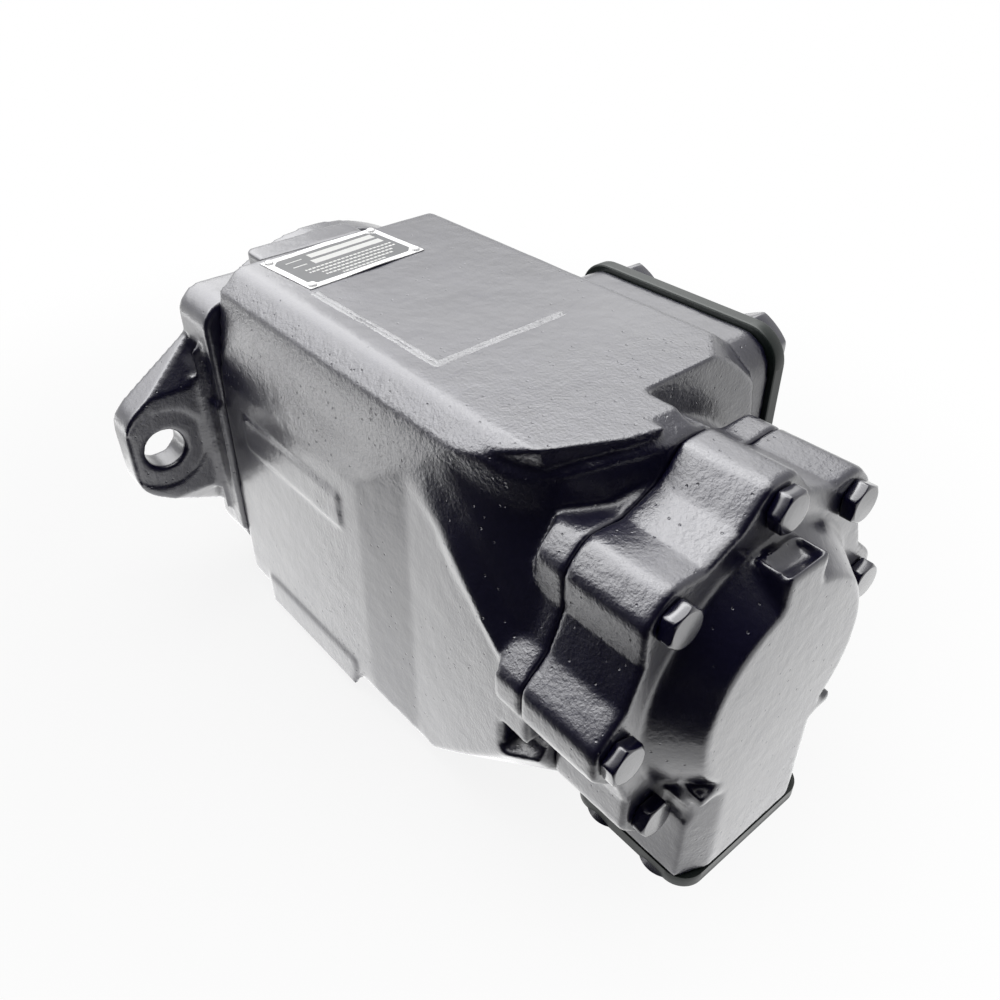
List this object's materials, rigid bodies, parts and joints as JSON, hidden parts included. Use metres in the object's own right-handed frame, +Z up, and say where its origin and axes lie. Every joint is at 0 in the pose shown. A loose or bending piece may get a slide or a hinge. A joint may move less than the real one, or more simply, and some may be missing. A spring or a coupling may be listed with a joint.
{
  "type": "hydraulic vane pump",
  "caption": "Double vane pump with two-bolt pilot flange and keyed shaft, one suction port on the side, two outlets below, ports closed by bolted shipping covers.",
  "frame": {"origin": "centre of the mounting face, on the shaft axis", "axes": "+X along the shaft towards the rear end cap, +Y towards the suction port, +Z up; both outlets face -Z"},
  "size_m": [0.3216, 0.211, 0.1587],
  "materials": {
    "black_enamel_casting": "gloss black enamel over sand-cast iron",
    "black_enamel_steel": "gloss black enamel over steel",
    "dark_green_cover": "dark green-black moulded shipping cover",
    "nameplate_aluminium": "satin aluminium sheet with dark grey printed field",
    "rivet_aluminium": "satin",
    "nitrile_rubber": "matt",
    "bearing_steel": "ground and polished",
    "brass_cage": "pressed brass",
    "bronze_bush": "sintered bronze",
    "spring_steel": "phosphated",
    "ground_steel": "ground",
    "port_plate_iron": "lapped",
    "hardened_steel": "ground",
    "black_oxide_steel": "black oxide"
  },
  "bodies": {
    "pump_body": {"main_housing": "black_enamel_casting", "mounting_cap": "black_enamel_casting", "end_cap": "black_enamel_casting", "end_cap_bolts": "black_enamel_steel", "mounting_cap_screws": "black_oxide_steel", "mounting_cap_seal": "nitrile_rubber", "end_cap_seal": "nitrile_rubber", "suction_cover": "dark_green_cover", "suction_cover_bolts": "black_enamel_steel", "outlet_1_cover": "dark_green_cover", "outlet_1_cover_screws": "black_enamel_steel", "outlet_2_cover": "dark_green_cover", "outlet_2_cover_screws": "black_enamel_steel", "nameplate": "nameplate_aluminium", "nameplate_rivets": "rivet_aluminium", "shaft_seal": "nitrile_rubber", "bearing_outer_race": "bearing_steel", "bearing_ring": "spring_steel", "rear_bush": "bronze_bush", "front_pressure_plate": "port_plate_iron", "front_side_plate": "port_plate_iron", "front_cam_ring": "hardened_steel", "front_dowels": "black_oxide_steel", "front_cartridge_screws": "black_oxide_steel", "front_plate_seals": "nitrile_rubber", "rear_pressure_plate": "port_plate_iron", "rear_side_plate": "port_plate_iron", "rear_cam_ring": "hardened_steel", "rear_dowels": "black_oxide_steel", "rear_cartridge_screws": "black_oxide_steel", "rear_plate_seals": "nitrile_rubber"},
    "rotating_group": {"shaft": "ground_steel", "shaft_key": "ground_steel", "bearing_inner_race": "bearing_steel", "shaft_ring": "spring_steel", "front_rotor": "hardened_steel", "rear_rotor": "hardened_steel", "front_dwell_vanes": "hardened_steel", "rear_dwell_vanes": "hardened_steel"},
    "ball_set": {"bearing_balls": "bearing_steel", "bearing_cage": "brass_cage"},
    "front_vane_1": {"front_vane_1": "hardened_steel"},
    "front_vane_2": {"front_vane_2": "hardened_steel"},
    "front_vane_3": {"front_vane_3": "hardened_steel"},
    "front_vane_4": {"front_vane_4": "hardened_steel"},
    "front_vane_6": {"front_vane_6": "hardened_steel"},
    "front_vane_7": {"front_vane_7": "hardened_steel"},
    "front_vane_8": {"front_vane_8": "hardened_steel"},
    "front_vane_9": {"front_vane_9": "hardened_steel"},
    "rear_vane_1": {"rear_vane_1": "hardened_steel"},
    "rear_vane_2": {"rear_vane_2": "hardened_steel"},
    "rear_vane_3": {"rear_vane_3": "hardened_steel"},
    "rear_vane_4": {"rear_vane_4": "hardened_steel"},
    "rear_vane_6": {"rear_vane_6": "hardened_steel"},
    "rear_vane_7": {"rear_vane_7": "hardened_steel"},
    "rear_vane_8": {"rear_vane_8": "hardened_steel"},
    "rear_vane_9": {"rear_vane_9": "hardened_steel"}
  },
  "joints": [
    {"name": "shaft_spin", "type": "hinge", "parent": "pump_body", "child": "rotating_group", "pos_m": [0, 0, 0], "axis": [1, 0, 0], "continuous": true},
    {"name": "ball_set_spin", "type": "hinge", "parent": "pump_body", "child": "ball_set", "pos_m": [0.0125, 0, 0], "axis": [1, 0, 0], "continuous": true},
    {"name": "front_vane_1_slide", "type": "slide", "parent": "rotating_group", "child": "front_vane_1", "axis": [0, 0.809, 0.5878], "range_m": [0, 0.00146]},
    {"name": "front_vane_2_slide", "type": "slide", "parent": "rotating_group", "child": "front_vane_2", "axis": [0, 0.309, 0.9511], "range_m": [0, 0.0049]},
    {"name": "front_vane_3_slide", "type": "slide", "parent": "rotating_group", "child": "front_vane_3", "axis": [0, -0.309, 0.9511], "range_m": [0, 0.0049]},
    {"name": "front_vane_4_slide", "type": "slide", "parent": "rotating_group", "child": "front_vane_4", "axis": [0, -0.809, 0.5878], "range_m": [0, 0.00146]},
    {"name": "front_vane_6_slide", "type": "slide", "parent": "rotating_group", "child": "front_vane_6", "axis": [0, -0.809, -0.5878], "range_m": [0, 0.00146]},
    {"name": "front_vane_7_slide", "type": "slide", "parent": "rotating_group", "child": "front_vane_7", "axis": [0, -0.309, -0.9511], "range_m": [0, 0.0049]},
    {"name": "front_vane_8_slide", "type": "slide", "parent": "rotating_group", "child": "front_vane_8", "axis": [0, 0.309, -0.9511], "range_m": [0, 0.0049]},
    {"name": "front_vane_9_slide", "type": "slide", "parent": "rotating_group", "child": "front_vane_9", "axis": [0, 0.809, -0.5878], "range_m": [0, 0.00146]},
    {"name": "rear_vane_1_slide", "type": "slide", "parent": "rotating_group", "child": "rear_vane_1", "axis": [0, 0.809, 0.5878], "range_m": [0, 0.00122]},
    {"name": "rear_vane_2_slide", "type": "slide", "parent": "rotating_group", "child": "rear_vane_2", "axis": [0, 0.309, 0.9511], "range_m": [0, 0.00409]},
    {"name": "rear_vane_3_slide", "type": "slide", "parent": "rotating_group", "child": "rear_vane_3", "axis": [0, -0.309, 0.9511], "range_m": [0, 0.00409]},
    {"name": "rear_vane_4_slide", "type": "slide", "parent": "rotating_group", "child": "rear_vane_4", "axis": [0, -0.809, 0.5878], "range_m": [0, 0.00122]},
    {"name": "rear_vane_6_slide", "type": "slide", "parent": "rotating_group", "child": "rear_vane_6", "axis": [0, -0.809, -0.5878], "range_m": [0, 0.00122]},
    {"name": "rear_vane_7_slide", "type": "slide", "parent": "rotating_group", "child": "rear_vane_7", "axis": [0, -0.309, -0.9511], "range_m": [0, 0.00409]},
    {"name": "rear_vane_8_slide", "type": "slide", "parent": "rotating_group", "child": "rear_vane_8", "axis": [0, 0.309, -0.9511], "range_m": [0, 0.00409]},
    {"name": "rear_vane_9_slide", "type": "slide", "parent": "rotating_group", "child": "rear_vane_9", "axis": [0, 0.809, -0.5878], "range_m": [0, 0.00122]}
  ],
  "couplings": [
    {"joint": "ball_set_spin", "follows": "shaft_spin", "ratio": 0.3963}
  ]
}
